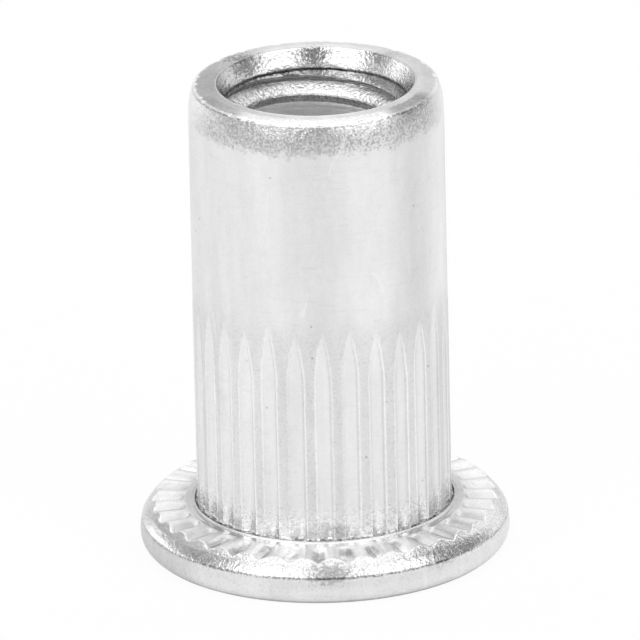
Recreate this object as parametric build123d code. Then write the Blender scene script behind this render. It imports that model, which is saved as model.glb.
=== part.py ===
from build123d import *
import math
import os

# Open-end rivet nut with a flat head, M8, cold formed in one piece.
# Sizes are in millimetres. The nut stands on its head: the head's outer face lies on the XY plane,
# the body rises along +Z, and the threaded end is the upper one.

# Thread: M8 coarse, in the upper part of the body
thread_diameter = 8.0
thread_pitch = 1.25
thread_length = 9.0  # from the open end down to the grip bore
thread_height_factor = 0.54127  # radial height of an ISO internal thread over its pitch

# Lead-in at the open end, opened out past the thread's roots
lead_in_flare = 0.31
lead_in_depth = 0.9
lead_in_clearance = 0.02

# Body: its 11 mm diameter is that of the hole it is set in
thread_wall = 1.5  # metal outside the thread's major diameter
overall_length = 21.1
end_shoulder_width = 0.35
end_shoulder_height = 1.3

# Grip bore: its thin wall folds into the blind-side bulge when the nut is set
grip_wall = 1.05
grip_mouth_chamfer = 0.3

# Head: upset, with a rim that is rounded above and below and then slopes to the two faces
head_overhang = 2.5
head_thickness = 2.0
rim_turn = 50.0  # degrees that each round turns through before its slope
rim_round_below = 0.7
rim_drop_below = 0.15
rim_round_above = 0.8
rim_drop_above = 0.35
foot_bevel = 0.2  # between the body and the seat face

# Ribs: shallow grooves pressed into the body leave them standing, and end in lancet points
groove_count = 29
groove_width = 0.65
groove_depth = 0.12
ribbed_length = 9.5  # from the seat face to the lancet points
lancet_length = 1.7
lancet_tip_length = 0.5  # the last stretch, where a groove fades out to nothing
groove_foot_gap = 0.1  # from the foot bevel to the grooves' lower ends

# Serrations: radial V notches pressed into the seat face
notch_count = 36
notch_depth = 0.2  # where a notch runs out on the rim's slope
notch_land = 0.12  # flat left between two notches, at the same place
seat_ring_width = 0.15  # plain ring between the foot bevel and the notches

# What follows from the sizes above
thread_radius = thread_diameter / 2
minor_radius = thread_radius - thread_height_factor * thread_pitch
body_radius = thread_radius + thread_wall
grip_radius = body_radius - grip_wall
head_radius = body_radius + head_overhang
lead_in_radius = thread_radius + lead_in_flare
lead_in_foot_radius = thread_radius + lead_in_clearance
lead_in_foot_z = overall_length - lead_in_depth
grip_top_z = overall_length - thread_length
foot_radius = body_radius + foot_bevel
foot_z = head_thickness + foot_bevel
slope_per_drop = math.tan(math.radians(rim_turn))
seat_edge_radius = (
    head_radius
    - rim_round_above * (1 - math.cos(math.radians(rim_turn)))
    - rim_drop_above * slope_per_drop
)


def rim_outline():
    """Edges of the half section from the head's outer face, round the rim, to the seat face."""
    rise = math.sin(math.radians(rim_turn))
    inset = 1 - math.cos(math.radians(rim_turn))
    lower_r = head_radius - rim_round_below * inset
    upper_r = head_radius - rim_round_above * inset
    lower_z = rim_drop_below + rim_round_below * rise
    upper_z = head_thickness - rim_drop_above - rim_round_above * rise
    lower_centre = (head_radius - rim_round_below, lower_z)
    upper_centre = (head_radius - rim_round_above, upper_z)
    return [
        Line((lower_r - rim_drop_below * slope_per_drop, 0), (lower_r, rim_drop_below)),
        CenterArc(lower_centre, rim_round_below, -rim_turn, rim_turn),
        Line((head_radius, lower_z), (head_radius, upper_z)),
        CenterArc(upper_centre, rim_round_above, 0, rim_turn),
        Line((upper_r, head_thickness - rim_drop_above), (seat_edge_radius, head_thickness)),
    ]


def body_outline():
    """Edges of the half section from the seat face up the body and over its end face."""
    shoulder_z = overall_length - end_shoulder_height
    end_radius = body_radius - end_shoulder_width
    return [
        Line((seat_edge_radius, head_thickness), (foot_radius, head_thickness)),
        Line((foot_radius, head_thickness), (body_radius, foot_z)),
        Line((body_radius, foot_z), (body_radius, shoulder_z)),
        TangentArc((body_radius, shoulder_z), (end_radius, overall_length), tangent=(0, 1)),
        Line((end_radius, overall_length), (lead_in_radius, overall_length)),
    ]


def bore_outline(face_edge):
    """Edges of the half section down the bore and out across the head's face to its edge."""
    thread_top_z = lead_in_foot_z - (lead_in_foot_radius - minor_radius)
    step_foot_z = grip_top_z - (grip_radius - minor_radius)
    corners = [
        (lead_in_radius, overall_length),
        (lead_in_foot_radius, lead_in_foot_z),
        (minor_radius, thread_top_z),
        (minor_radius, grip_top_z),
        (grip_radius, step_foot_z),
        (grip_radius, grip_mouth_chamfer),
        (grip_radius + grip_mouth_chamfer, 0),
        face_edge,
    ]
    return [Line(start, end) for start, end in zip(corners, corners[1:])]


def turned_blank():
    """Head, body and bore as one solid of revolution, before anything is pressed into it."""
    rim = rim_outline()
    outline = Curve() + rim + body_outline() + bore_outline(rim[0] @ 0)
    return revolve(Plane.XZ * make_face(outline), Axis.Z, 360)


def groove_cutter():
    """Round bar that presses one groove at +X, with a nose that runs out to a lancet point."""
    bar_radius = (groove_width**2 / 4 + groove_depth**2) / (2 * groove_depth)
    axis_radius = body_radius - groove_depth + bar_radius
    end_radius = bar_radius - 1.02 * groove_depth  # a hair short of the body's surface
    bottom = foot_z + groove_foot_gap
    tip = head_thickness + ribbed_length
    # The nose's straight taper meets the fading tip arc in line with it
    taper_length = lancet_length - lancet_tip_length
    tip_share = lancet_tip_length / (2 * taper_length + lancet_tip_length)
    tip_start = (end_radius + tip_share * (bar_radius - end_radius), tip - lancet_tip_length)
    outline = Curve() + [
        Line((0, bottom), (bar_radius, bottom)),
        Line((bar_radius, bottom), (bar_radius, tip - lancet_length)),
        Line((bar_radius, tip - lancet_length), tip_start),
        TangentArc((end_radius, tip), tip_start, tangent=(0, -1)),
        Line((end_radius, tip), (0, tip)),
        Line((0, tip), (0, bottom)),
    ]
    bar = revolve(Plane.XZ * make_face(outline), Axis.Z, 360)
    return Pos(axis_radius, 0, 0) * bar


def notch_section(radius):
    """Corners of a notch's V across the seat face at a radius; its lines all aim at the axis."""
    run_out_radius = seat_edge_radius + notch_depth * slope_per_drop
    share = radius / run_out_radius
    depth = share * notch_depth
    half_width = share * (run_out_radius * math.tan(math.pi / notch_count) - notch_land / 2)
    # The V carries on to twice its height, clear of the seat face
    return [
        Vector(radius, 0, head_thickness - depth),
        Vector(radius, 2 * half_width, head_thickness + depth),
        Vector(radius, -2 * half_width, head_thickness + depth),
    ]


def notch_cutter():
    """Wedge that presses one radial notch at +X, from the plain ring out past the rim."""
    inner = notch_section(foot_radius + seat_ring_width)
    outer = notch_section(1.1 * head_radius)
    outlines = [inner, outer]
    for corner in range(3):
        following = (corner + 1) % 3
        outlines.append([inner[corner], inner[following], outer[following], outer[corner]])
    return Solid(Shell([Face(Wire.make_polygon(outline)) for outline in outlines]))


def pressed_nut():
    """The turned blank with its grooves and its notches, one of each facing -Y."""
    nut = turned_blank()
    nut -= PolarLocations(0, groove_count, start_angle=-90) * groove_cutter()
    nut -= PolarLocations(0, notch_count, start_angle=-90) * notch_cutter()
    return nut


os.makedirs("parts", exist_ok=True)
export_step(pressed_nut(), "parts/rivet_nut.step")
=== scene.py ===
"""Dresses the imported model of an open-end flat-head rivet nut for M8, in metres.

The nut stands on its head: the head's outer face lies on the XY plane, the body rises along +Z
and the threaded end is the upper one. The front, where one groove and one notch face, is at -Y.
"""

import logging
import math
from abc import ABC, abstractmethod
from contextlib import contextmanager
from dataclasses import dataclass
from enum import Enum
from typing import Callable, Iterator, Sequence

import bmesh
import bpy
import numpy as np
from mathutils import Matrix, Vector, noise


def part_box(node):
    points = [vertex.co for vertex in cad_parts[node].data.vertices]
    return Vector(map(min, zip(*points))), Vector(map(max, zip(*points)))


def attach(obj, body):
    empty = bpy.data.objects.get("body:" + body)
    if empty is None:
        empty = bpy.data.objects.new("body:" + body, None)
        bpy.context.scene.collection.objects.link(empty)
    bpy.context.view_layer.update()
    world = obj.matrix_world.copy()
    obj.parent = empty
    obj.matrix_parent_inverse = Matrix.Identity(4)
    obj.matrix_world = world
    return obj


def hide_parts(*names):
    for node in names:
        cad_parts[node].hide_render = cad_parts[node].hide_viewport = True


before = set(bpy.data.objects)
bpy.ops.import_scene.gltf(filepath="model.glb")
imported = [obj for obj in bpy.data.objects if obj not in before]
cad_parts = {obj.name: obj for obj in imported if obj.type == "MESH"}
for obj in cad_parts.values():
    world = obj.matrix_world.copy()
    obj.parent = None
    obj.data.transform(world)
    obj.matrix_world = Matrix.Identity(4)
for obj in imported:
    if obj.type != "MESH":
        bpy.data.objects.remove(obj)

MM = 0.001
TURN = 2 * math.pi
FRONT = -math.pi / 2
MERGE = 0.002 * MM
SLIVER = 0.0005 * MM
AXIS = {"center": (0, 0, 0), "axis": (0, 0, 1)}
NODE = "rivet_nut"
BODY = "root"
Point = tuple[float, float]

logging.basicConfig(level=logging.INFO, format="%(message)s")
log = logging.getLogger("rivet_nut")


# ----------------------------------------------------------
# Bench: what is done by hand to every piece in work
# ----------------------------------------------------------


class Bench:
    """Drawing, lathing and joining, by the edit-mode operators."""

    @staticmethod
    def clear() -> None:
        """Leaves nothing selected."""
        bpy.ops.object.select_all(action="DESELECT")
        bpy.context.view_layer.objects.active = None

    @staticmethod
    def take(piece: bpy.types.Object) -> None:
        """Selects one piece alone and makes it the active one.

        Args:
            piece: The piece to work on.
        """
        Bench.clear()
        piece.select_set(True)
        bpy.context.view_layer.objects.active = piece

    @staticmethod
    @contextmanager
    def edit(piece: bpy.types.Object) -> Iterator[None]:
        """Opens a piece's mesh, all selected, and closes it when the work on it is done.

        Args:
            piece: The piece to work on.
        """
        Bench.take(piece)
        bpy.ops.object.mode_set(mode="EDIT")
        bpy.ops.mesh.select_all(action="SELECT")
        yield
        bpy.ops.object.mode_set(mode="OBJECT")

    @staticmethod
    def draw(name: str, outline: Sequence[Point]) -> bpy.types.Object:
        """Draws a half section at +X: one point, drawn out through the others in turn.

        Args:
            name: The piece's name.
            outline: Radius and height of each point, in millimetres.

        Returns:
            The piece, a chain of edges.
        """
        Bench.clear()
        radius, height = outline[0]
        bpy.ops.mesh.primitive_plane_add(size=MM, location=(radius * MM, 0, height * MM))
        piece = bpy.context.active_object
        piece.name = name
        bpy.ops.object.transform_apply(location=True, rotation=True, scale=True)
        with Bench.edit(piece):
            bpy.ops.mesh.merge(type="CENTER")
            for start, end in zip(outline, outline[1:]):
                step = ((end[0] - start[0]) * MM, 0, (end[1] - start[1]) * MM)
                bpy.ops.mesh.extrude_region_move(TRANSFORM_OT_translate={"value": step})
        return piece

    @staticmethod
    def lathe(piece: bpy.types.Object, columns: Sequence[float], sectors: int) -> None:
        """Spins one sector column by column, then copies it right round and merges the seams.

        Args:
            piece: A drawn half section.
            columns: The angle from each column of the sector to the next, in radians.
            sectors: How many sectors go round.
        """
        rest = TURN / sectors * (sectors - 1)
        with Bench.edit(piece):
            for angle in columns:
                bpy.ops.mesh.spin(steps=1, angle=angle, **AXIS)
            bpy.ops.mesh.select_all(action="SELECT")
            bpy.ops.mesh.spin(steps=sectors - 1, dupli=True, angle=rest, **AXIS)
            bpy.ops.mesh.select_all(action="SELECT")
            bpy.ops.mesh.remove_doubles(threshold=MERGE)

    @staticmethod
    def turn(piece: bpy.types.Object, angle: float) -> None:
        """Turns a piece's mesh about the nut's axis, counter-clockwise from above, in radians."""
        piece.data.transform(Matrix.Rotation(angle, 4, "Z"))

    @staticmethod
    def join(name: str, pieces: Sequence[bpy.types.Object]) -> bpy.types.Object:
        """Joins the meshes of several pieces into the first.

        Args:
            name: The joined piece's name.
            pieces: The pieces to join.

        Returns:
            The joined piece.
        """
        Bench.clear()
        for piece in pieces:
            piece.select_set(True)
        bpy.context.view_layer.objects.active = pieces[0]
        bpy.ops.object.join()
        joined = bpy.context.active_object
        joined.name = name
        joined.data.name = name
        return joined

    @staticmethod
    def bridge(piece: bpy.types.Object, near: Callable[[float, float], bool]) -> None:
        """Bridges two open rings round the axis, whose columns needn't match, going round once.

        Args:
            piece: The joined piece.
            near: Says whether a radius and height, in millimetres, belong to the gap.
        """
        mesh = bmesh.new()
        mesh.from_mesh(piece.data)

        def inside(point: bmesh.types.BMVert) -> bool:
            """Whether a point belongs to the gap."""
            return near(math.hypot(point.co.x, point.co.y) / MM, point.co.z / MM)

        edges = [e for e in mesh.edges if e.is_boundary and all(inside(v) for v in e.verts)]
        rings = []
        waiting = {v for e in edges for v in e.verts}
        while waiting:
            ring, front = set(), {waiting.pop()}
            while front:
                ring |= front
                touched = {v for e in edges if front & set(e.verts) for v in e.verts}
                front = touched - ring
            waiting -= ring
            rings.append(sorted(ring, key=lambda v: math.atan2(v.co.y, v.co.x)))
        first, second = rings

        def at(ring: list[bmesh.types.BMVert], step: int) -> float:
            """Angle of a ring's point, which goes on growing past one turn."""
            point = ring[step % len(ring)].co
            return math.atan2(point.y, point.x) + TURN * (step // len(ring))

        i = j = 0
        while i < len(first) or j < len(second):
            here, there = first[i % len(first)], second[j % len(second)]
            ahead = j == len(second) or (i < len(first) and at(first, i + 1) <= at(second, j + 1))
            i, j = (i + 1, j) if ahead else (i, j + 1)
            onward = first[i % len(first)] if ahead else second[j % len(second)]
            mesh.faces.new((here, there, onward))
        mesh.to_mesh(piece.data)
        mesh.free()

    @staticmethod
    def merge(piece: bpy.types.Object) -> None:
        """Merges a piece's doubles and slivers.

        Args:
            piece: The piece.
        """
        with Bench.edit(piece):
            bpy.ops.mesh.remove_doubles(threshold=MERGE)
            bpy.ops.mesh.dissolve_degenerate(threshold=SLIVER)

    @staticmethod
    def close(piece: bpy.types.Object, sharp: float) -> None:
        """Merges doubles, turns the faces outwards and shades the piece smooth up to an angle.

        Args:
            piece: The piece.
            sharp: Edges that turn by more than this angle, in degrees, stay sharp.
        """
        Bench.merge(piece)
        with Bench.edit(piece):
            bpy.ops.mesh.normals_make_consistent(inside=False)
        bpy.ops.object.shade_smooth_by_angle(angle=math.radians(sharp))


class Marks:
    """Reads and writes a mesh's points and its per-point marks, as arrays in millimetres."""

    def __init__(self, piece: bpy.types.Object) -> None:
        """Reads the points of a piece.

        Args:
            piece: The piece whose mesh is read.
        """
        self.mesh = piece.data
        flat = np.zeros(len(self.mesh.vertices) * 3)
        self.mesh.vertices.foreach_get("co", flat)
        x, y, self.z = flat.reshape(-1, 3).T / MM
        self.radius = np.hypot(x, y)
        self.angle = np.arctan2(y, x)

    def places(self) -> np.ndarray:
        """Where the points are, in rows of x, y and z."""
        x, y = self.radius * np.cos(self.angle), self.radius * np.sin(self.angle)
        return np.stack([x, y, self.z], axis=1)

    def offset(self, phase: float, count: int) -> np.ndarray:
        """Angle of each point from its sector's middle, where phase is the middle of the first."""
        sector = TURN / count
        return (self.angle - phase + sector / 2) % sector - sector / 2

    def number(self, phase: float, count: int) -> np.ndarray:
        """Number of the sector that each point lies in, from 0 for the one round the phase."""
        return np.round((self.angle - phase) % TURN / (TURN / count)).astype(int) % count

    def rough(self, size: float, seed: float) -> np.ndarray:
        """Smooth noise at each point, about -1 to 1, in lumps of a size that the seed shifts."""
        return np.array([noise.noise(Vector(at)) for at in self.places() / size + seed])

    def write(self) -> None:
        """Puts the points back into the mesh."""
        self.mesh.vertices.foreach_set("co", (self.places() * MM).ravel())
        self.mesh.update()

    def store(self, name: str, values: np.ndarray) -> None:
        """Keeps a value for each point under a name, for the finish to read."""
        mark = self.mesh.attributes.new(name, "FLOAT", "POINT")
        mark.data.foreach_set("value", np.ascontiguousarray(values, dtype=np.float32))


def fade(values: np.ndarray, start: float, end: float) -> np.ndarray:
    """Smooth step of the values, from 0 at the start to 1 at the end."""
    share = np.clip((values - start) / (end - start), 0, 1)
    return share * share * (3 - 2 * share)


def soft_min(first: np.ndarray, second: np.ndarray, blend: float) -> np.ndarray:
    """The lower of two, with a rounded change from one to the other, as wide as the blend."""
    share = np.clip(0.5 + 0.5 * (second - first) / blend, 0, 1)
    return second * (1 - share) + first * share - blend * share * (1 - share)


def arc(centre: Point, radius: float, start: float, end: float, steps: int) -> list[Point]:
    """Points along an arc of a half section, its angles in degrees upwards from outwards."""
    angles = [math.radians(start + (end - start) * step / steps) for step in range(steps + 1)]
    return [(centre[0] + radius * math.cos(a), centre[1] + radius * math.sin(a)) for a in angles]


def rows(start: float, end: float, count: int) -> list[float]:
    """Values at even steps from a start, which is left out, to an end."""
    return [start + (end - start) * step / count for step in range(1, count + 1)]


# ----------------------------------------------------------
# The nut's parts
# ----------------------------------------------------------


class PressedPart(ABC):
    """A part that is lathed in equal sectors and pressed round. Sizes in millimetres.

    Its columns stand at shares of half a sector, out from the sector's middle to both sides.
    """

    name: str
    count: int
    phase: float
    columns: tuple[float, ...]
    seed: int

    @abstractmethod
    def outline(self) -> list[Point]:
        """Half section of the part, as radius and height of its points."""

    @abstractmethod
    def dent(self, marks: Marks) -> None:
        """Makes the surface a little uneven."""

    @abstractmethod
    def press(self, marks: Marks) -> None:
        """Presses what goes round the part."""

    def picker(self, marks: Marks) -> Callable[[float, float], np.ndarray]:
        """Starts the part's random draws, which give every sector a value of its own.

        Args:
            marks: The part's points.

        Returns:
            A function that draws from a low to a high value and gives each point its sector's.
        """
        pick = np.random.default_rng(self.seed)
        number = marks.number(self.phase, self.count)
        return lambda low, high: pick.uniform(low, high, self.count)[number]

    def build(self) -> bpy.types.Object:
        """Draws, lathes, dents and presses the part.

        Returns:
            The part, open at both ends of its half section.
        """
        half = math.pi / self.count
        side = [half * (b - a) for a, b in zip(self.columns, self.columns[1:])]
        piece = Bench.draw(self.name, self.outline())
        Bench.lathe(piece, side[::-1] + side, self.count)
        Bench.turn(piece, self.phase - half)
        marks = Marks(piece)
        self.dent(marks)
        self.press(marks)
        marks.write()
        return piece


@dataclass
class RibbedBody(PressedPart):
    """Body from the seat face up to the end face, with pressed grooves. Sizes in millimetres."""

    length: float
    name: str = "body"
    radius: float = 5.5
    seat: float = 2.0
    foot_height: float = 0.2
    shoulder_height: float = 1.3
    shoulder_width: float = 0.21
    corner: float = 0.11
    corner_drop: float = 0.08
    mouth_radius: float = 4.32
    count: int = 29
    phase: float = FRONT + math.radians(0.6)
    # Closer together along a groove's edges
    columns: tuple[float, ...] = (0.0, 0.12, 0.24, 0.345, 0.44, 0.52, 0.58, 0.64, 0.72, 0.84, 1.0)
    groove_width: float = 0.68
    groove_depth: float = 0.12
    lip_height: float = 0.016
    lip_width: float = 0.036
    tips: float = 11.6
    lancet: float = 2.1
    seed: int = 7
    # Radius and height over the seat face, of the thin ring pressed up round the body's foot
    foot_ring: tuple[Point, ...] = (
        *((5.9, 0.004), (5.85, 0.018), (5.77, 0.015), (5.7, 0.068), (5.66, 0.087)),
        *((5.62, 0.076), (5.6, 0.045), (5.57, 0.06), (5.53, 0.11), (5.51, 0.16)),
    )
    # Radius and drop below the nut's length, of the slightly domed end face
    dome: tuple[Point, ...] = (
        *((5.15, 0.062), (5.08, 0.051), (5.0, 0.04), (4.9, 0.029), (4.8, 0.02)),
        *((4.7, 0.012), (4.6, 0.006), (4.5, 0.002), (4.42, 0.0)),
    )

    def shoulder(self) -> list[Point]:
        """The shoulder, which leans in slowly and then turns tightly to the end face.

        Returns:
            Radius and height of its points.
        """
        lean, brow = 18.0, 72.0
        bottom = self.length - self.shoulder_height
        centre_r = self.radius - self.shoulder_width - self.corner * math.cos(math.radians(lean))
        centre_z = self.length - self.corner_drop - self.corner * math.sin(math.radians(brow))
        top = centre_z + self.corner * math.sin(math.radians(lean))
        points = []
        for z in rows(bottom, top, 12):
            share = (z - bottom) / (top - bottom)
            points.append((self.radius - self.shoulder_width * share**2.2, z))
        return points + arc((centre_r, centre_z), self.corner, lean, brow, 5)[1:]

    def outline(self) -> list[Point]:
        """Half section from the seat face up the body and over to the mouth.

        Returns:
            Radius and height of its points.
        """
        foot = self.seat + self.foot_height
        shoulder = self.length - self.shoulder_height
        # Rows are close together at the grooves' feet and along their lancets
        low, lancet_foot, lancet_top = foot + 0.5, 9.2, 12.5
        heights = [foot, *rows(foot, low, 5), *rows(low, lancet_foot, 15)]
        heights += [*rows(lancet_foot, lancet_top, 36), *rows(lancet_top, shoulder, 16)]
        points = [(r, self.seat + rise) for r, rise in self.foot_ring]
        points += [(self.radius, z) for z in heights]
        points += self.shoulder()
        points += [(r, self.length - drop) for r, drop in self.dome]
        return [*points, (self.mouth_radius, self.length)]

    def press(self, marks: Marks) -> None:
        """Presses the grooves, each a little different, and leaves a thin lip along them.

        Args:
            marks: The body's points.
        """
        vary = self.picker(marks)
        wander = vary(-0.025, 0.025)
        tip = self.tips + vary(-0.35, 0.45)
        depth = self.groove_depth * vary(0.9, 1.1)
        half = self.groove_width / 2 * vary(0.95, 1.05)
        lancet = self.lancet * vary(0.88, 1.12)
        left, right = vary(0.4, 1.0), vary(0.6, 1.3)

        across = marks.offset(self.phase, self.count) * self.radius + wander
        share = np.clip((tip - marks.z) / lancet, 0, 1)
        fill = 1.3 * share**2 / (share + 0.3)
        fill = fill * fade(-marks.radius, -self.radius - 0.1, -self.radius - 0.04)
        width = half * np.sqrt(np.maximum(fill, 1e-9))
        pressed = np.clip(1 - (across / np.maximum(width, 1e-4)) ** 2, 0, 1)
        wall = marks.radius > self.radius - 0.05
        pressed = np.where(wall & (fill > 1e-4), pressed, 0)

        gap = (np.abs(across) - width - 0.6 * self.lip_width) / self.lip_width
        side = np.where(across < 0, left, right)
        lip = np.exp(-(gap**2)) * side * np.clip(fill * 4, 0, 1) * wall
        marks.radius += self.lip_height * lip - depth * fill * pressed
        marks.store("pressed", fade(pressed, 0.0, 0.35))
        # A painted shade line runs inside one edge of each groove, stored with the lip's painted
        # highlight
        painted_shade_line = np.exp(-(((across - width + 0.05) / 0.03) ** 2)) * np.clip(fill * 4, 0, 1) * wall
        marks.store("lip", lip - 0.8 * painted_shade_line)

    def dent(self, marks: Marks) -> None:
        """Makes the surface a little uneven and nicks the corner of the end.

        Args:
            marks: The body's points.
        """
        wave, lump, nick_in, nick_down = 0.006, 0.012, 0.07, 0.05
        wall = fade(marks.radius, 5.0, 5.3)
        marks.radius += wave * wall * marks.rough(2.5, 3.1)
        shoulder = fade(marks.z, self.length - 1.5, self.length - 1.0)
        marks.radius += lump * wall * shoulder * marks.rough(0.5, 11.7)
        corner = np.exp(-(((marks.z - self.length + 0.09) / 0.1) ** 2))
        corner = corner * np.exp(-(((marks.radius - 5.2) / 0.13) ** 2))
        nick = fade(marks.rough(0.28, 23.3) + 0.5 * marks.rough(0.9, 4.4), 0.0, 0.7) * corner
        marks.radius -= nick_in * nick
        marks.z -= nick_down * nick


@dataclass
class SerratedHead(PressedPart):
    """Head from the seat face round the rim to the mouth under it. Sizes in millimetres."""

    radius: float
    name: str = "head"
    thickness: float = 2.0
    join_radius: float = 5.97
    mouth_radius: float = 4.85
    count: int = 36
    phase: float = FRONT - math.radians(2.5)
    # Closer together over a ridge
    columns: tuple[float, ...] = (0.0, 0.22, 0.45, 0.66, 0.82, 0.92, 1.0)
    notch_depth: float = 0.21
    notch_reach: float = 7.6
    notch_bow: float = 1.7
    seed: int = 19

    def outline(self) -> list[Point]:
        """Half section from the plain ring out over the seat face, round the rim and under it.

        Returns:
            Radius and height of its points.
        """
        top, rim = self.thickness, self.radius
        notch_start, seat_edge, under_edge = 6.18, 7.2, 7.53
        points = [(r, top) for r in (self.join_radius, 6.0, 6.04, 6.1, notch_start)]
        points += [(r, top) for r in rows(notch_start, seat_edge, 6)]
        # The seat face turns down into the slope, which steepens towards the rim
        slope = [(7.31, top - 0.018), (7.64, 1.685), (7.79, 1.5), (7.895, 1.34)]
        points += [(7.26, top - 0.003), slope[0]]
        for (r0, z0), (r1, z1), count in zip(slope, slope[1:], (8, 3, 3)):
            points += list(zip(rows(r0, r1, count), rows(z0, z1, count)))
        # The rim bulges a little and rounds off to the head's outer face
        points += [(7.92, 1.29), (7.935, 1.24), (7.945, 1.18), (7.965, 1.06), (7.985, 0.93)]
        points += [(rim, 0.8), (rim, 0.68), (7.985, 0.54), (7.95, 0.41), (7.89, 0.29)]
        points += [(7.8, 0.18), (7.7, 0.09), (7.62, 0.03), (7.57, 0.006), (under_edge, 0.0)]
        points += [(r, 0.0) for r in rows(under_edge, self.mouth_radius, 4)]
        return points

    def press(self, marks: Marks) -> None:
        """Presses the radial V notches, which run out on the rim's slope.

        Args:
            marks: The head's points.
        """
        vary = self.picker(marks)
        deep, wander, lean = vary(0.86, 1.12), np.radians(vary(-0.25, 0.25)), vary(-0.08, 0.08)
        across = marks.offset(self.phase, self.count) + wander
        share = marks.radius / self.notch_reach
        flank = np.abs(across) / (math.pi / self.count) * (1 + lean * np.sign(across))
        bow = (1 - np.clip(flank, 0, 1)) ** self.notch_bow
        begin = fade(marks.radius, self.join_radius + 0.02, self.join_radius + 0.3)
        floor = self.thickness + 0.004 - (share * self.notch_depth * deep * bow + 0.006) * begin
        upper = marks.z > self.thickness - 0.8
        cut = soft_min(marks.z, floor, 0.008)
        notch = np.where(upper, np.clip((marks.z - cut) / self.notch_depth, 0, 1), 0)
        marks.z = np.where(upper, cut, marks.z)
        marks.store("notch", fade(notch, 0.03, 0.3))

    def dent(self, marks: Marks) -> None:
        """Makes the rim a little uneven.

        Args:
            marks: The head's points.
        """
        worn_in, worn_down = 0.01, 0.015
        rim = fade(marks.radius, 7.2, 7.6) * fade(marks.z, 0.02, 0.2)
        uneven = np.clip(marks.rough(1.1, 5.9) + 0.5 * marks.rough(0.4, 9.4), 0, 2)
        marks.radius -= worn_in * rim * uneven
        marks.z -= worn_down * rim * fade(marks.z, 1.3, 1.7) * uneven


@dataclass
class ThreadedBore:
    """Lead-in, thread, step and grip bore. Sizes in millimetres."""

    length: float
    major_radius: float = 4.0
    minor_radius: float = 3.3234
    pitch: float = 1.25
    foot: float = 12.1
    lead_radius: float = 4.26
    grip_radius: float = 4.45
    step_foot: float = 10.97
    step_rise: float = 0.35
    mouth: float = 0.3
    columns: int = 116
    root_depth: float = 1.37
    edge: float = 0.03
    root_edge: float = 0.02
    mouth_edge: float = 0.015

    def section(self) -> list[Point]:
        """One pitch of the thread's half section, from a root upwards to the next.

        Returns:
            Radius and height of its points, the height from 0 to the pitch.
        """
        root, crest = self.pitch / 8, self.pitch / 4
        flank = (self.pitch - root - crest) / 2
        height = self.major_radius - self.minor_radius
        lower = [(self.major_radius, 0.0), (self.major_radius, root / 2 - self.root_edge)]
        for share in (0.06, 0.35, 0.65, 1 - self.edge / height):
            lower.append((self.major_radius - height * share, root / 2 + flank * share))
        lower.append((self.minor_radius, root / 2 + flank * (1 + self.edge / height)))
        upper = [(r, self.pitch - z) for r, z in reversed(lower)]
        return [*lower, (self.minor_radius, self.pitch / 2), *upper]

    def profile(self, height: np.ndarray) -> np.ndarray:
        """Radius of the thread's half section at heights above a root's middle."""
        points = self.section()
        return np.interp(height % self.pitch, [p[1] for p in points], [p[0] for p in points])

    def lead_in(self, z: np.ndarray) -> np.ndarray:
        """Radius of the lead-in at each height, far inside the thread where there is none.

        Args:
            z: The heights.

        Returns:
            The radii.
        """
        # A small step, cut a little wider, parts the cone from the first turn
        depths = [0.0, 0.03, 0.8, 0.86, 0.92, 0.98, 1.2, 2.0]
        mouth = self.lead_radius + self.mouth_edge
        radii = [mouth, self.lead_radius, 3.985, 4.0, 4.01, 3.95, 3.9, 3.0]
        return np.interp(self.length - z, depths, radii)

    def thread(self) -> bpy.types.Object:
        """Screws one pitch of the section up the bore and trims it to its two ends.

        Returns:
            The threaded wall with its lead-in, open at both ends.
        """
        turns = math.ceil((self.length - self.foot) / self.pitch) + 3
        start = self.length - self.root_depth + self.pitch * (2 - turns)
        outline = [(r, z + start) for r, z in self.section()]
        piece = Bench.draw("thread", outline)
        Bench.take(piece)
        screw = piece.modifiers.new("screw", "SCREW")
        screw.axis = "Z"
        screw.steps = self.columns
        screw.render_steps = self.columns
        screw.screw_offset = self.pitch * MM
        screw.iterations = turns
        screw.use_merge_vertices = False
        bpy.ops.object.modifier_apply(modifier=screw.name)
        # The drawn section now stands at +X and belongs at the back, a quarter turn on
        Bench.turn(piece, math.pi / 2)
        self.trim(Marks(piece))
        Bench.merge(piece)
        return piece

    def trim(self, marks: Marks) -> None:
        """Roughens the crests and trims the turns to the lead-in, the end face and the foot.

        Args:
            marks: The points of the thread's wall.
        """
        torn, blend = 0.012, 0.012
        crest = fade(self.major_radius - marks.radius, 0.02, 0.3)
        marks.radius += torn * marks.rough(0.35, 2.2) * crest
        wide = self.lead_in(np.clip(marks.z, self.foot, self.length))
        rise = (marks.angle - math.pi / 2) % TURN / TURN * self.pitch
        end = self.profile(self.foot - (self.length - self.root_depth) - rise)
        marks.radius = np.where(marks.z < self.foot, end, marks.radius)
        marks.radius = -soft_min(-marks.radius, -wide, blend)
        marks.z = np.clip(marks.z, self.foot, self.length)
        top = marks.z > self.length - 1e-6
        marks.radius = np.where(top, self.lead_radius + self.mouth_edge, marks.radius)
        marks.write()

    def grip(self) -> bpy.types.Object:
        """Lathes the step, the grip bore and its mouth.

        Returns:
            The wall, open at both ends.
        """
        outline = [(4.1, self.foot - self.step_rise)]
        outline += [(self.grip_radius - 0.05, self.step_foot + 0.05)]
        outline += [(self.grip_radius, self.step_foot - 0.05)]
        outline += [(self.grip_radius, z) for z in rows(self.step_foot, self.mouth, 8)]
        outline += [(self.grip_radius + self.mouth, 0.0)]
        piece = Bench.draw("grip", outline)
        Bench.lathe(piece, [TURN / self.columns], self.columns)
        return piece

    def build(self) -> list[bpy.types.Object]:
        """Builds the threaded wall and the grip bore's."""
        return [self.thread(), self.grip()]


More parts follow.
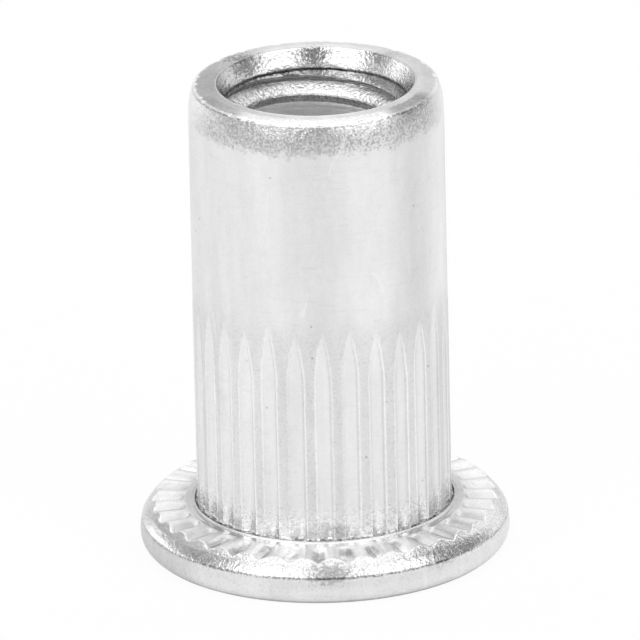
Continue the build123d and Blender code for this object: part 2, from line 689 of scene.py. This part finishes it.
@dataclass
class RivetNut:
    """The whole nut: one closed skin."""

    radius: float
    length: float
    reach: float = 0.1
    sharp: float = 32.0

    def build(self) -> bpy.types.Object:
        """Builds the parts, joins them and bridges the gaps between their open rings.

        Returns:
            The nut.
        """
        body = RibbedBody(self.length)
        head = SerratedHead(self.radius)
        bore = ThreadedBore(self.length)
        nut = Bench.join("nut", [body.build(), head.build(), *bore.build()])
        foot, step, reach = bore.foot, bore.foot - bore.step_rise, self.reach
        Bench.bridge(nut, lambda r, z: r > body.radius and abs(z - body.seat) < reach)
        Bench.bridge(nut, lambda r, z: r < body.radius and z > self.length - reach)
        Bench.bridge(nut, lambda r, z: r < bore.grip_radius and step - reach < z < foot + reach)
        Bench.bridge(nut, lambda r, z: r < body.radius and z < reach)
        Bench.close(nut, self.sharp)
        return nut


# ----------------------------------------------------------
# Finishes
# ----------------------------------------------------------


class Value:
    """A shader socket that can stand in an expression."""

    def __init__(self, graph: "Graph", socket: bpy.types.NodeSocket) -> None:
        """Keeps an output socket and the graph that new nodes go to."""
        self.graph = graph
        self.socket = socket

    def _math(self, operation: str, *inputs: object) -> "Value":
        """Adds a Math node over inputs."""
        return self.graph.node("ShaderNodeMath", {"operation": operation}, dict(enumerate(inputs)))

    def __add__(self, other: object) -> "Value":
        """Sum."""
        return self._math("ADD", self, other)

    __radd__ = __add__

    def __mul__(self, other: object) -> "Value":
        """Product."""
        return self._math("MULTIPLY", self, other)

    __rmul__ = __mul__

    def __sub__(self, other: object) -> "Value":
        """Difference."""
        return self._math("SUBTRACT", self, other)

    def __rsub__(self, other: object) -> "Value":
        """Difference from a number."""
        return self._math("SUBTRACT", other, self)

    def __truediv__(self, other: object) -> "Value":
        """Quotient."""
        return self._math("DIVIDE", self, other)

    def __pow__(self, other: object) -> "Value":
        """Power."""
        return self._math("POWER", self, other)

    def __abs__(self) -> "Value":
        """Size without its sign."""
        return self._math("ABSOLUTE", self)

    def step(self, start: float, end: float) -> "Value":
        """Smooth step from 0 at the start to 1 at the end, which may be the lower.

        Args:
            start: Where it leaves 0.
            end: Where it reaches 1.

        Returns:
            The stepped value.
        """
        low, high, first, last = (start, end, 0.0, 1.0) if end > start else (end, start, 1.0, 0.0)
        ends = {"From Min": low, "From Max": high, "To Min": first, "To Max": last}
        smooth = {"interpolation_type": "SMOOTHSTEP"}
        return self.graph.node("ShaderNodeMapRange", smooth, {"Value": self, **ends})


class Graph:
    """Nodes of one material or world."""

    def __init__(self, tree: bpy.types.NodeTree) -> None:
        """Empties the tree and starts it again."""
        self.tree = tree
        tree.nodes.clear()

    def node(
        self,
        kind: str,
        settings: dict[str, object] | None = None,
        inputs: dict[int | str, object] | None = None,
        output: int | str = 0,
    ) -> Value:
        """Adds a node.

        Args:
            kind: Its type.
            settings: What is set on the node, such as an operation.
            inputs: Values or links of its sockets, by number or name.
            output: The socket that the result stands for.

        Returns:
            The output socket.
        """
        made = self.tree.nodes.new(kind)
        for name, value in (settings or {}).items():
            setattr(made, name, value)
        for name, value in (inputs or {}).items():
            if isinstance(value, Value):
                self.tree.links.new(value.socket, made.inputs[name])
            else:
                made.inputs[name].default_value = value
        return Value(self, made.outputs[output] if made.outputs else None)

    def mark(self, name: str) -> Value:
        """Reads a value kept for each point of the mesh, by its name."""
        return self.node("ShaderNodeAttribute", {"attribute_name": name}, output="Fac")

    def noise(self, at: Value, scale: float, detail: float, rough: float) -> Value:
        """Noise between 0 and 1.

        Args:
            at: The place, in millimetres.
            scale: Lumps to a millimetre.
            detail: Finer lumps over it.
            rough: Their share.

        Returns:
            The noise.
        """
        return self.node(
            "ShaderNodeTexNoise",
            {"noise_dimensions": "3D"},
            {"Vector": at, "Scale": scale, "Detail": detail, "Roughness": rough},
        )


class Skin:
    """Where each point of the nut lies, the patterns that run over it and the zones it is in.

    Sizes are in millimetres, and every zone is 1 inside it and 0 outside.
    """

    def __init__(self, graph: Graph, length: float) -> None:
        """Reads the place and the marks, then lays out the patterns and the zones.

        Args:
            graph: The material's graph.
            length: The nut's length.
        """
        self.graph = graph
        self.at = self.place(1, 1, 1)
        axes = graph.node("ShaderNodeSeparateXYZ", None, {"Vector": self.at}).socket.node.outputs
        self.x, self.y, self.z = (Value(graph, axes[axis]) for axis in "XYZ")
        self.radius = (self.x * self.x + self.y * self.y) ** 0.5
        self.depth = length - self.z
        self.sideways = self.x / self.radius
        self.across = self.sideways * self.sideways
        self.pressed = graph.mark("pressed")
        # The lip mark carries the lips' painted highlight and the painted shade line beside them
        self.lip = graph.mark("lip")
        self.notch = graph.mark("notch")
        self.lay_patterns()
        self.lay_bore_zones()
        self.lay_end_zones()
        self.lay_head_zones()
        self.lay_body_zones()

    def place(self, *stretch: float) -> Value:
        """The place on the nut in millimetres, stretched.

        Args:
            stretch: How much each axis is stretched.

        Returns:
            The place.
        """
        at = self.graph.node("ShaderNodeTexCoord", output="Object")
        scale = tuple(share / MM for share in stretch)
        return self.graph.node("ShaderNodeMapping", None, {"Vector": at, "Scale": scale})

    def lay_patterns(self) -> None:
        """Frosted grain, soft blotches, flakes, thin scratches and tool marks."""
        noise_at = self.graph.noise
        long = self.place(1, 1, 0.25)
        self.grain = noise_at(self.at, 11.0, 4.0, 0.6)
        self.blotch = noise_at(long, 1.1, 4.0, 0.6)
        self.cloud = noise_at(self.at, 3.0, 3.0, 0.6)
        self.flake = noise_at(self.at, 9.0, 3.0, 0.7)
        self.chip = noise_at(self.at, 5.5, 2.0, 0.6)
        self.jag = self.chip - 0.5
        self.dash = noise_at(self.place(0.6, 0.6, 5.0), 1.7, 2.0, 0.5).step(0.6, 0.68)
        hair = abs(noise_at(long, 0.45, 1.0, 0.4) - 0.5).step(0.008, 0.002)
        self.hair = hair * noise_at(self.at, 0.35, 1.0, 0.4).step(0.56, 0.62)
        ring_at = {"X": self.radius * 22.0, "Y": self.z * 0.2}
        self.rings = noise_at(self.graph.node("ShaderNodeCombineXYZ", None, ring_at), 1.0, 2.0, 0.5)
        self.chatter = noise_at(self.place(0.6, 0.6, 8.0), 1.2, 3.0, 0.65)

    def lay_bore_zones(self) -> None:
        """The bore: its thread, the thread's roots and crests, and the step over the first turn."""
        radius, depth, jag = self.radius, self.depth, self.jag
        self.inside = radius.step(4.36, 4.32)
        self.thread = self.inside * depth.step(0.75, 0.9)
        self.deep = self.inside * depth.step(2.1, 2.5)
        self.root = self.thread * radius.step(3.78, 3.96) * (1 - self.deep)
        self.crest = self.thread * (radius + jag * 0.1).step(3.42, 3.36)
        ragged = depth - jag * 0.12
        self.brink = self.inside * ragged.step(0.98, 0.92) * ragged.step(0.78, 0.86)

    def lay_end_zones(self) -> None:
        """The open end: the shoulder, the tight corner over it and the end face."""
        self.outside = self.radius.step(5.0, 5.2)
        self.front = self.y.step(-0.8, -3.4)
        shoulder = (self.depth - (self.cloud - 0.5) * 1.3).step(1.6, 1.1)
        self.shoulder = shoulder * self.outside * self.depth.step(0.12, 0.2)
        corner = self.depth.step(0.22, 0.15) * self.radius.step(4.5, 4.65)
        self.corner = corner * (self.depth - self.jag * 0.03).step(0.006, 0.014)
        self.face = self.depth.step(0.09, 0.05) * (1 - self.inside)

    def lay_head_zones(self) -> None:
        """The head: the rim, its upper turn, the slope, the notches' ridges and the foot ring."""
        z, radius = self.z, self.radius
        plain = 1 - self.notch
        self.head = z.step(2.06, 1.98)
        self.rim = self.head * z.step(1.25, 1.2)
        self.turn = self.head * (z + self.jag * 0.08).step(1.18, 1.23) * z.step(1.33, 1.27)
        self.slope = self.head * z.step(1.05, 1.25) * radius.step(7.1, 7.5) * plain
        self.ring = z.step(2.14, 2.1) * radius.step(5.6, 5.64) * radius.step(6.1, 5.98)
        self.ridge = self.head * z.step(1.9, 1.97) * plain * (1 - self.ring)
        self.fillet = z.step(2.16, 2.08) * radius.step(5.64, 5.6) * self.outside

    def lay_body_zones(self) -> None:
        """The body: its foot, its wall, the ribs that stand on it, and its pits and dust."""
        z, flake = self.z, self.flake
        foot = (z + (self.cloud - 0.5) * 1.3).step(3.7, 2.7)
        self.foot = foot * z.step(2.0, 2.1) * self.radius.step(5.62, 5.57)
        self.wall = (1 - self.head) * (1 - self.shoulder) * (1 - self.corner) * self.outside
        self.rib = z.step(12.4, 11.0) * self.wall * (1 - self.pressed)
        cells = {"Vector": self.at, "Scale": 0.95}
        cell = self.graph.node("ShaderNodeTexVoronoi", {"feature": "F1"}, cells, "Distance")
        self.pit = (cell + (flake - 0.5) * 0.2).step(0.06, 0.02) * self.wall
        dusty = self.rib * 0.25 + self.foot * 0.5 + self.ridge * 0.6 + self.wall * 0.08
        self.dust = flake.step(0.5, 0.64) * dusty
        worked = self.foot * 0.8 + self.shoulder * 0.8 + self.ridge * 0.3
        self.worked = worked + self.slope * (0.8 - self.across * 0.5)


@dataclass(frozen=True)
class DarkPatch:
    """A small darker patch, mottled towards its border. Sizes in millimetres."""

    x: float
    y: float
    z: float
    size: float
    dark: float


@dataclass(frozen=True)
class BareMetal:
    """Pale, frosted, cold-formed metal, burnished where a tool pressed it and cut in the thread."""

    length: float
    grey: float = 0.86
    satin: float = 0.42
    pressed: float = 0.36
    burnished: float = 0.22
    cut: float = 0.16
    patch_squash: float = 2.0
    dark_patches: tuple[DarkPatch, ...] = (
        # The first three are painted shade in the lead-in, standing in for dark reflections; the others
        # darken the head and the body's foot
        DarkPatch(-3.0, 2.95, 20.85, 1.1, 0.38),
        DarkPatch(-0.1, 4.2, 20.75, 0.8, 0.35),
        DarkPatch(3.0, 2.95, 20.95, 0.8, 0.2),
        DarkPatch(0.1, -7.8, 1.42, 1.1, 0.3),
        DarkPatch(5.0, -6.0, 1.45, 0.9, 0.25),
        DarkPatch(0.3, -5.5, 2.5, 0.9, 0.22),
    )

    def roughness(self, skin: Skin) -> Value:
        """Roughness: satin, smoother where a tool pressed the metal, smoothest where it was cut.

        Args:
            skin: The nut's patterns and zones.

        Returns:
            The roughness.
        """
        shiny = skin.lip * 0.8 + skin.foot * 0.6 + skin.shoulder * 0.6 + skin.notch * 0.8
        shiny = shiny + skin.slope + skin.ring + skin.corner * skin.front
        rough = self.satin + (skin.blotch - 0.5) * 0.16
        rough += skin.pressed * (self.pressed - self.satin)
        rough += shiny * (self.burnished - self.satin)
        return rough + (skin.inside - skin.deep) * (self.cut - self.satin)

    def body_tone(self, skin: Skin) -> Value:
        """What the body adds to the tone.

        Args:
            skin: The nut's patterns and zones.

        Returns:
            The share of grey that is added.
        """
        wall, flake = skin.wall, skin.flake
        # Lips get a painted highlight with a painted shade line beside them, scratches are bright, pits
        # and dust are dark, and the ribs are a little duller
        tone = skin.lip * 0.2 + skin.pressed * 0.03 - skin.rib * 0.05 + skin.hair * 0.06
        tone = tone - skin.pit * 0.3 - skin.dust * 0.25
        # Painted shade darkens the wall towards both sides
        tone = tone - skin.dash * (wall - skin.rib) * 0.03 - wall * skin.across**3.0 * 0.06
        # Painted sheen in soft streaks runs up the wall over the ribs
        node = skin.graph.node
        around = node("ShaderNodeMath", {"operation": "ARCTAN2"}, {0: skin.x, 1: skin.y * -1.0})
        painted_sheen = node("ShaderNodeMath", {"operation": "COSINE"}, {0: 7.0 * around - 2.69})
        tone += painted_sheen * (skin.sideways * 0.05 + 0.045) * wall * skin.z.step(9.0, 13.0)
        # Painted sparkles fleck the foot, painted shade darkens the foot ring at both sides, and
        # painted shade fills its fillet
        tone = tone + skin.foot * flake.step(0.6, 0.4) * 0.1 - skin.ring * skin.across * 0.2
        return tone - skin.fillet * (flake.step(0.35, 0.55) * 0.3 + 0.3)

    def end_tone(self, skin: Skin) -> Value:
        """What the shoulder, the corner and the end face add to the tone.

        Args:
            skin: The nut's patterns and zones.

        Returns:
            The share of grey that is added.
        """
        x, corner, face, flake = skin.x, skin.corner, skin.face, skin.flake
        # Painted highlight on the corner in front, and painted shade on the shoulder in front, mottled,
        # with a brighter painted glint patch in it
        glint = x.step(0.4, 1.2) * x.step(3.8, 3.0) * flake.step(0.6, 0.5)
        shoulder_painted_shade = (flake.step(0.42, 0.58) * 0.25 + 0.12) * (1 - glint * 0.8)
        tone = corner * (skin.front * skin.across.step(0.5, 0.35) * 0.14 - 0.07)
        tone -= skin.shoulder * skin.front * shoulder_painted_shade
        # Painted shade on the corner beside its front
        corner_painted_shade = x.step(2.6, 3.4) * 0.3 + x.step(-3.0, -3.6) * 0.15
        tone -= corner * skin.y.step(-1.2, -2.2) * corner_painted_shade
        # Painted shade on the end face at both sides and along the mouth's front edge
        edge = (skin.radius + skin.jag * 0.2).step(4.68, 4.58)
        tone -= face * skin.front * edge * 0.1
        tone -= (face - corner * 0.15) * skin.across * (0.31 - skin.sideways * 0.12)
        return tone - face * skin.chip.step(0.35, 0.6) * 0.06

    def bore_tone(self, skin: Skin) -> Value:
        """What the lead-in and the thread add to the tone.

        Args:
            skin: The nut's patterns and zones.

        Returns:
            The share of grey that is added.
        """
        shallow = 1 - skin.deep
        # Painted light deep in the bore, and painted shade in the roots and on the shallower crests
        tone = skin.deep * 0.12 - skin.root * 0.28 - skin.crest * shallow * 0.3
        # Painted shade along the step over the first turn, heavier at the back
        tone -= skin.brink * (skin.y / skin.radius * 0.2 + 0.2)
        # Painted shade at the mouth's rim at both sides
        tone -= skin.inside * skin.depth.step(0.06, 0.03) * skin.across * 0.3
        tone -= skin.thread * skin.depth.step(1.55, 1.35) * 0.14
        flank = skin.thread * (1 - skin.root) * shallow
        return tone - flank * skin.flake.step(0.5, 0.62) * 0.25

    def head_tone(self, skin: Skin) -> Value:
        """What the seat face, the slope and the rim add to the tone.

        Args:
            skin: The nut's patterns and zones.

        Returns:
            The share of grey that is added.
        """
        x, y, z, radius = skin.x, skin.y, skin.z, skin.radius
        # Painted shade on the seat face at both sides, more on its inner part and in the notches
        seat = radius.step(7.0, 6.0) * 0.12 + skin.notch * 0.2
        tone = skin.head * z.step(1.65, 1.75) * seat * skin.across * -1.0
        # In front it gets a painted highlight, and some of its notches hold a wedge of painted shade
        facing = skin.head * y.step(-4.4, -5.6) * z.step(1.68, 1.76)
        painted_shade_wedge = skin.notch * z.step(1.97, 1.9) * (radius + skin.jag * 0.5).step(5.85, 6.3)
        painted_shade_wedge *= skin.graph.noise(skin.at, 0.9, 1.0, 0.4).step(0.42, 0.56)
        tone += facing * (0.07 - painted_shade_wedge * (skin.flake.step(0.35, 0.6) * 0.2 + 0.27))
        # The rim is flecked, with painted shade along its foot and on the left
        flecks_and_painted_shade = skin.flake.step(0.48, 0.66) * 0.1 + z.step(0.22, 0.08) * 0.3 - 0.03
        tone -= skin.rim * (flecks_and_painted_shade + x.step(-4.5, -7.5) * 0.22)
        # Mottled painted shade in the crease of the rim's upper turn, and darker mottling on the slope
        return tone - (skin.turn * 0.4 + skin.slope * 0.12) * skin.flake.step(0.35, 0.6)

    def patch_darkening(self, skin: Skin) -> Value:
        """How dark the patches make the metal, with painted shade in the lead-in.

        Args:
            skin: The nut's patterns and zones.

        Returns:
            What is taken from the tone.
        """
        at = skin.place(1, 1, self.patch_squash)
        speckle = (skin.flake + skin.chip) * 0.5 - 0.5
        dark = None
        for patch in self.dark_patches:
            centre = (patch.x, patch.y, patch.z * self.patch_squash)
            far = skin.graph.node(
                "ShaderNodeVectorMath", {"operation": "DISTANCE"}, {0: at, 1: centre}, "Value"
            )
            ragged = far + speckle * 4.5 * patch.size
            near = ragged.step(patch.size * 0.95, patch.size * 0.5) * patch.dark
            dark = near if dark is None else dark + near
        return dark

    def relief(self, skin: Skin) -> Value:
        """The fine relief, in millimetres.

        Args:
            skin: The nut's patterns and zones.

        Returns:
            The height.
        """
        grain = skin.grain * 0.003 + skin.cloud * 0.007
        dents = skin.pit * 0.01 + skin.dust * 0.006 + skin.hair * 0.004
        flakes = skin.flake * (skin.worked * 0.025 + skin.inside * 0.012)
        torn = skin.inside * 0.03 + skin.thread * 0.02 + skin.worked * 0.05
        chips = skin.chip * (torn + skin.corner * skin.front * 0.05)
        turned = skin.chatter * skin.inside * 0.006 + skin.rings * skin.face * 0.006
        return grain - dents + flakes + chips + turned

    def material(self) -> bpy.types.Material:
        """Makes the material.

        Returns:
            The material.
        """
        made = bpy.data.materials.new("bare_metal_finish")
        made.use_nodes = True
        graph = Graph(made.node_tree)
        skin = Skin(graph, self.length)
        tone = (skin.blotch - 0.5) * 0.22 + (skin.grain - 0.5) * 0.1 + (skin.cloud - 0.5) * 0.06
        tone = tone + self.grey + self.body_tone(skin) + self.end_tone(skin)
        tone = tone + self.bore_tone(skin) + self.head_tone(skin) - self.patch_darkening(skin)
        grey = graph.node("ShaderNodeCombineColor", None, dict.fromkeys(("Red", "Green", "Blue"), tone))
        height = {"Strength": 1.0, "Distance": MM, "Height": self.relief(skin)}
        bump = graph.node("ShaderNodeBump", None, height)
        look = {"Base Color": grey, "Metallic": 1.0, "Roughness": self.roughness(skin)}
        shader = graph.node("ShaderNodeBsdfPrincipled", None, {**look, "Normal": bump})
        graph.node("ShaderNodeOutputMaterial", None, {"Surface": shader})
        return made


# ----------------------------------------------------------
# Studio
# ----------------------------------------------------------


class Side(Enum):
    """Where a lamp stands: degrees to the right of the camera, and degrees up."""

    TOP = (180, 83)
    LEFT = (-39, 34)
    RIGHT = (46, 34)
    UPPER = (167, 41)
    BACK = (167, 15)
    FILL = (-122, 44)
    LOW_LEFT = (-116, 8)
    LOW_RIGHT = (112, 6)


@dataclass(frozen=True)
class Lamp:
    """A softbox that looks at the nut. Sizes in metres."""

    side: Side
    radiance: float
    width: float
    height: float
    distance: float = 0.7

    def build(self) -> None:
        """Hangs the softbox."""
        across, up = (math.radians(a) for a in self.side.value)
        out = math.cos(up)
        way = Vector((math.sin(across) * out, -math.cos(across) * out, math.sin(up)))
        data = bpy.data.lights.new(f"softbox_{self.side.name.lower()}", "AREA")
        data.shape = "RECTANGLE"
        data.size = self.width
        data.size_y = self.height
        data.energy = self.radiance * math.pi * self.width * self.height
        lamp = bpy.data.objects.new(data.name, data)
        lamp.location = way * self.distance
        lamp.rotation_euler = way.to_track_quat("Z", "Y").to_euler()
        bpy.context.scene.collection.objects.link(lamp)


@dataclass(frozen=True)
class Studio:
    """Floor, world, softboxes and camera. Sizes in metres, angles in degrees."""

    world_level: float = 0.22
    floor_size: float = 3.0
    floor_grey: float = 0.85
    floor_lift: float = 0.94
    floor_gloss: float = 0.3
    elevation: float = 20.9
    roll: float = 1.27
    distance: float = 0.75
    span: float = 0.02761
    aim_up: float = 0.0105
    aim_right: float = -0.00002
    aim_down: float = 0.000345
    sensor: float = 36.0
    lamps: tuple[Lamp, ...] = (
        Lamp(Side.TOP, 1.18, 0.78, 0.78),
        Lamp(Side.LEFT, 1.9, 0.58, 0.56),
        Lamp(Side.RIGHT, 1.5, 0.72, 0.56),
        Lamp(Side.UPPER, 0.95, 1.3, 0.33),
        Lamp(Side.BACK, 0.78, 1.3, 0.29),
        Lamp(Side.FILL, 0.4, 0.5, 0.5),
        Lamp(Side.LOW_LEFT, 1.3, 0.7, 0.2),
        Lamp(Side.LOW_RIGHT, 0.4, 0.7, 0.12),
    )

    def floor(self) -> None:
        """Lays a plain pale floor that keeps the nut's shadow."""
        Bench.clear()
        bpy.ops.mesh.primitive_grid_add(x_subdivisions=8, y_subdivisions=8, size=self.floor_size)
        floor = bpy.context.active_object
        floor.name = "floor"
        made = bpy.data.materials.new("floor_paper")
        made.use_nodes = True
        graph = Graph(made.node_tree)
        grey = (self.floor_grey,) * 3 + (1.0,)
        paper = graph.node("ShaderNodeBsdfDiffuse", None, {"Color": grey})
        glow = graph.node("ShaderNodeEmission", None, {"Color": (1, 1, 1, 1), "Strength": 1.0})
        path = graph.node("ShaderNodeLightPath", output="Is Camera Ray")
        glossy = Value(graph, path.socket.node.outputs["Is Glossy Ray"])
        lift = path * self.floor_lift + glossy * self.floor_gloss
        mixed = graph.node("ShaderNodeMixShader", None, {0: lift, 1: paper, 2: glow})
        graph.node("ShaderNodeOutputMaterial", None, {"Surface": mixed})
        floor.data.materials.append(made)

    def world(self) -> None:
        """Sets a plain world that is white to the camera."""
        world = bpy.data.worlds.new("studio")
        world.use_nodes = True
        bpy.context.scene.world = world
        graph = Graph(world.node_tree)
        path = graph.node("ShaderNodeLightPath", output="Is Camera Ray")
        level = path * (1.0 - self.world_level) + self.world_level
        back = graph.node("ShaderNodeBackground", None, {"Color": (1, 1, 1, 1), "Strength": level})
        graph.node("ShaderNodeOutputWorld", None, {"Surface": back})

    def camera(self) -> None:
        """Sets the camera up, a little rolled, and makes it the scene's."""
        up, roll = math.radians(self.elevation), math.radians(self.roll)
        back = Vector((0, -math.cos(up), math.sin(up)))
        level, rise = Vector((1, 0, 0)), Vector((0, math.sin(up), math.cos(up)))
        right = level * math.cos(roll) - rise * math.sin(roll)
        top = rise * math.cos(roll) + level * math.sin(roll)
        target = Vector((0, 0, self.aim_up)) + right * self.aim_right - top * self.aim_down
        data = bpy.data.cameras.new("camera")
        data.sensor_width = self.sensor
        data.lens = self.sensor * self.distance / self.span
        data.clip_start = 0.01
        camera = bpy.data.objects.new("camera", data)
        turned = Matrix((right, top, back)).transposed().to_4x4()
        camera.matrix_world = Matrix.Translation(target + back * self.distance) @ turned
        bpy.context.scene.collection.objects.link(camera)
        bpy.context.scene.camera = camera

    def build(self) -> None:
        """Sets up the whole studio."""
        self.floor()
        self.world()
        for lamp in self.lamps:
            lamp.build()
        self.camera()
        bpy.context.scene.view_settings.view_transform = "Standard"


def main() -> None:
    """Builds the nut, dresses it and sets up the studio."""
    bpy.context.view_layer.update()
    low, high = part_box(NODE)
    nut = RivetNut((high.x - low.x) / 2 / MM, high.z / MM).build()
    nut.data.materials.clear()
    nut.data.materials.append(BareMetal(length=high.z / MM).material())
    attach(nut, BODY)
    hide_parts(NODE)
    log.info("%s: %d points, %d faces", nut.name, len(nut.data.vertices), len(nut.data.polygons))
    Studio().build()
    log.info("studio: floor, softboxes, camera")


if __name__ == "__main__":
    main()
